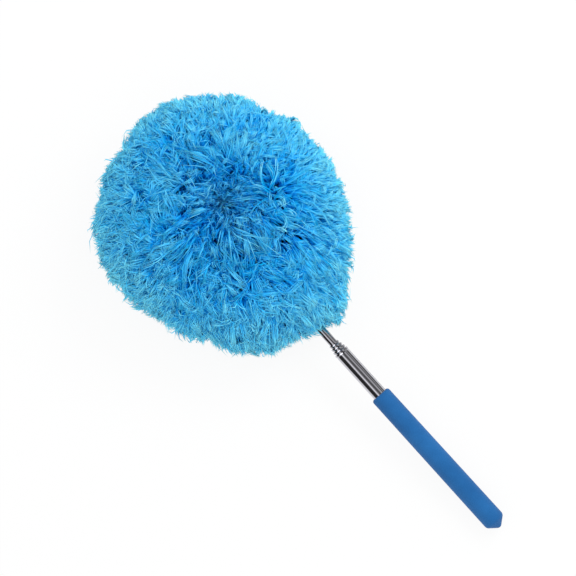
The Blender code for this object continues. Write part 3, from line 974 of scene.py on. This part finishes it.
# Pieces whose CAD shape is right. For the start of their nodes' names: a finish and its name, the two
# screen colours that it lies between, and its roughness
hidden = {
    "end_plug": (mouldedFinish, "plugNylon", (34, 34, 36), (46, 46, 48), 0.42),
    "head_socket": (mouldedFinish, "socketNylon", (22, 96, 168), (34, 112, 184), 0.38),
    "loop_coat": (mouldedFinish, "coatPlastic", (26, 104, 172), (38, 120, 188), 0.34),
    "friction_sleeve": (metalFinish, "sleeveBronze", (176, 132, 82), (206, 160, 104), 0.24),
    "loop_wire": (metalFinish, "wireSteel", (160, 160, 162), (190, 190, 192), 0.28),
    "cross_pin": (metalFinish, "pinSteel", (172, 172, 174), (200, 200, 202), 0.2),
    "cuff_elastic": (mouldedFinish, "elasticRubber", (142, 142, 145), (160, 160, 163), 0.7),
}


def addCuff():
    # A thin neck round the innermost tube, with a rounded first edge, that widens to a hood at the socket
    first, last = reachOf("cuff")
    neck = tubeRadius(len(pole["bodies"])) + pole["lipGap"]
    hood = cover["hoodRadius"]
    throat = reachOf("head_socket")[0] - cover["socketGap"]
    wall = cover["wall"]
    outline = np.concatenate([
        arc(first + wall / 2, neck + wall / 2, wall / 2, 270, 90),
        [[throat - cover["hoodRise"], neck + wall], [throat - wall, hood + wall], [last, hood + wall]],
        [[last, hood], [throat, hood], [throat, neck]],
    ])
    points, faces = turned(outline, cover["cuffSides"])
    finish = knitFinish("cuffKnit", (10, 84, 130), (24, 120, 164))
    newPiece("cloth_cuff", points, faces, finish, "head", ["cuff"])


def addBackingCloth():
    # A thin-walled tube of cloth round the loop of wire, open at the socket
    centre = np.array([*head["holeOffset"], 0]) / 2
    loop = (head["radius"] + head["holeRadius"]) / 2
    gap = math.asin(cover["loopOpening"] / loop)
    turn = np.linspace(math.pi + gap, 3 * math.pi - gap, cover["loopColumns"])[:, None]
    around = (np.arange(cover["loopRows"]) * math.tau / cover["loopRows"])[None]
    layers = []
    for radius in (cover["loopRadius"], cover["loopRadius"] - cover["wall"]):
        out = loop + radius * np.cos(around)
        height = radius * np.sin(around) + 0 * turn
        layers.append(np.stack([out * np.cos(turn), out * np.sin(turn), height], axis=-1) + centre)
    grid = np.concatenate([layers[0], layers[1][::-1]])
    faces = [gridFaces(len(grid), cover["loopRows"], True, True)]
    points = toWorld(grid.reshape(-1, 3) + np.array([head["reach"], 0, 0]))
    finish = knitFinish("backingKnit", (20, 110, 180), (40, 140, 206))
    faces = facingOut(points, faces)
    newPiece("cloth_backing", points, faces, finish, "head", ["backing_cloth"])


def finishHiddenPieces():
    for start, (kind, name, low, high, roughness) in hidden.items():
        finish = kind(name, low, high, roughness)
        for node, piece in frame["nodes"].items():
            if node.startswith(start):
                piece.data.materials.clear()
                piece.data.materials.append(finish.material)


# Studio

studio = {
    "viewWidth": 0.7327,
    "viewReach": 0.3753,  # where the camera looks, along the pole from the swivel's point
    "viewSide": -0.0045,
    "poleDirection": (-0.672, 0.7405),  # the pole, toward the head, in the picture: right and up
    "distance": 4.0,
    "sensor": 36,
    "floorSize": 12,
    "key": {"place": (0.2, -1.5, 1.5), "target": (0.1, 0, 0.05), "size": (1.4, 0.8), "power": 17},
    "white": (1, 1, 1, 1),
    "floorColour": (0.86, 0.86, 0.86, 1),
    "floorGlow": 0.9,
    # What polished metal mirrors: the room's brightness by the angle from straight up toward the lit side
    "walls": [
        (-50, 0.025), (-44, 0.12), (-36, 0.12), (-32, 1.0), (-16, 1.0), (-11, 0.16), (-6, 0.4), (3, 0.1),
        (28, 0.11), (36, 0.5), (56, 0.5), (62, 0.06), (70, 0.06), (74, 0.4), (84, 0.4), (90, 0.05),
    ],
    "wallTint": (0.98, 0.97, 1.04),
    # The same behind the grip's end, which only the beads of the tubes' mouths mirror
    "endWalls": [(-62, 0.02), (-50, 2.0), (2, 2.0), (10, 0.03), (60, 0.03), (70, 0.6), (82, 0.6), (90, 0.03)],
    "endFrom": 0.3,
    "endTo": 0.4,
    # What it mirrors of the floor: the brightness by the place along Y
    "floorStripes": [
        (-0.125, 0.04), (-0.105, 0.95), (-0.034, 0.95), (-0.028, 0.05), (-0.004, 0.05), (0.002, 0.95),
        (0.2, 0.95), (0.25, 0.04),
    ],
    "stripesReach": 0.3,
}


def addCamera():
    right = np.array([studio["poleDirection"][0], -studio["poleDirection"][1], 0])
    up = np.array([studio["poleDirection"][1], studio["poleDirection"][0], 0])
    target = toWorld(np.array([studio["viewReach"], studio["viewSide"], 0]))
    place = target + ringAxis * studio["distance"]
    columns = np.array([right @ poleFrame, up @ poleFrame, ringAxis])
    camera = bpy.data.objects.new("camera", bpy.data.cameras.new("camera"))
    bpy.context.collection.objects.link(camera)
    camera.data.sensor_width = studio["sensor"]
    camera.data.lens = studio["sensor"] * studio["distance"] / studio["viewWidth"]
    camera.matrix_world = Matrix.Translation(Vector(place)) @ Matrix(columns.T.tolist()).to_4x4()
    bpy.context.scene.camera = camera


def addLamp(name, place, target, size, power):
    light = bpy.data.lights.new(name, "AREA")
    light.shape = "RECTANGLE"
    light.size, light.size_y = size
    light.energy = power
    lamp = bpy.data.objects.new(name, light)
    lamp.visible_glossy = False
    bpy.context.collection.objects.link(lamp)
    lamp.location = place
    lamp.rotation_euler = (Vector(target) - Vector(place)).to_track_quat("-Z", "Y").to_euler()


def sentBy(nodes, *kinds):
    # One for rays of these kinds, and zero for all others
    total, *rest = (nodes.node("ShaderNodeLightPath", output=f"Is {kind} Ray") for kind in kinds)
    for part in rest:
        total = nodes.node("ShaderNodeMath", {"operation": "MAXIMUM"}, {0: total, 1: part})
    return total


def levelRamp(nodes, value, low, high, stops):
    # Brightness by a value between low and high, with the tint of the walls
    place = nodes.node("ShaderNodeMapRange", inputs={"Value": value, "From Min": low, "From Max": high})
    return nodes.ramp(place, [(stop, [level * part for part in studio["wallTint"]]) for stop, level in stops])


def addFloor():
    # Plain and pale where light falls on it, white to the camera, and striped to metal
    half = studio["floorSize"] / 2
    mesh = bpy.data.meshes.new("floor")
    corners = [(-half, -half, 0), (half, -half, 0), (half, half, 0), (-half, half, 0)]
    mesh.from_pydata(corners, [], [(0, 1, 2, 3)])
    floor = bpy.data.objects.new("floor", mesh)
    bpy.context.collection.objects.link(floor)
    constants = {"Base Color": studio["floorColour"], "Roughness": 0.9, "Specular IOR Level": 0}
    finish = Finish("paleFloor", constants)
    place = finish.node("ShaderNodeTexCoord", output="Object")
    side = finish.node("ShaderNodeSeparateXYZ", inputs={0: place}, output="Y")
    reach = studio["stripesReach"]
    stripes = [((stop + reach) / (2 * reach), level) for stop, level in studio["floorStripes"]]
    mirrored = levelRamp(finish, side, -reach, reach, stripes)
    colour = finish.blended(sentBy(finish, "Glossy"), studio["white"], mirrored)
    glow = finish.node("ShaderNodeEmission", inputs={"Color": colour})
    share = sentBy(finish, "Camera", "Glossy", "Transmission") * studio["floorGlow"]
    surface = Value(finish, finish.shader.outputs[0])
    mixed = finish.node("ShaderNodeMixShader", inputs={0: share, 1: surface, 2: glow})
    finish.feed(finish.tree.nodes["Material Output"].inputs["Surface"], mixed)
    mesh.materials.append(finish.material)


def addSky():
    # White, apart from what polished metal mirrors: walls by the angle round the pole, and others behind
    world = bpy.data.worlds.new("studio")
    bpy.context.scene.world = world
    world.use_nodes = True
    nodes = Nodes(world.node_tree)
    direction = nodes.node("ShaderNodeTexCoord", output="Generated")
    parts = []
    for axis in (-sideAxis, ringAxis, -poleAxis):
        inputs = {0: direction, 1: axis}
        parts.append(nodes.node("ShaderNodeVectorMath", {"operation": "DOT_PRODUCT"}, inputs, "Value"))
    angle = nodes.node("ShaderNodeMath", {"operation": "ARCTAN2"}, {0: parts[0], 1: parts[1]})
    rooms = []
    for kind in ("walls", "endWalls"):
        stops = [((degrees + 180) / 360, level) for degrees, level in studio[kind]]
        rooms.append(levelRamp(nodes, angle, -math.pi, math.pi, stops))
    ends = {"Value": parts[2], "From Min": studio["endFrom"], "From Max": studio["endTo"]}
    room = nodes.blended(nodes.node("ShaderNodeMapRange", inputs=ends), *rooms)
    colour = nodes.blended(sentBy(nodes, "Glossy"), studio["white"], room)
    nodes.feed(nodes.tree.nodes["Background"].inputs["Color"], colour)


bpy.context.scene.view_settings.view_transform = "Standard"
addCamera()
addFloor()
addSky()
addLamp("key", **studio["key"])
print("studio done")
addGrip()
addPole()
print("handle and pole done")
addPile()
addCuff()
addBackingCloth()
finishHiddenPieces()
print("cover and hidden pieces done")
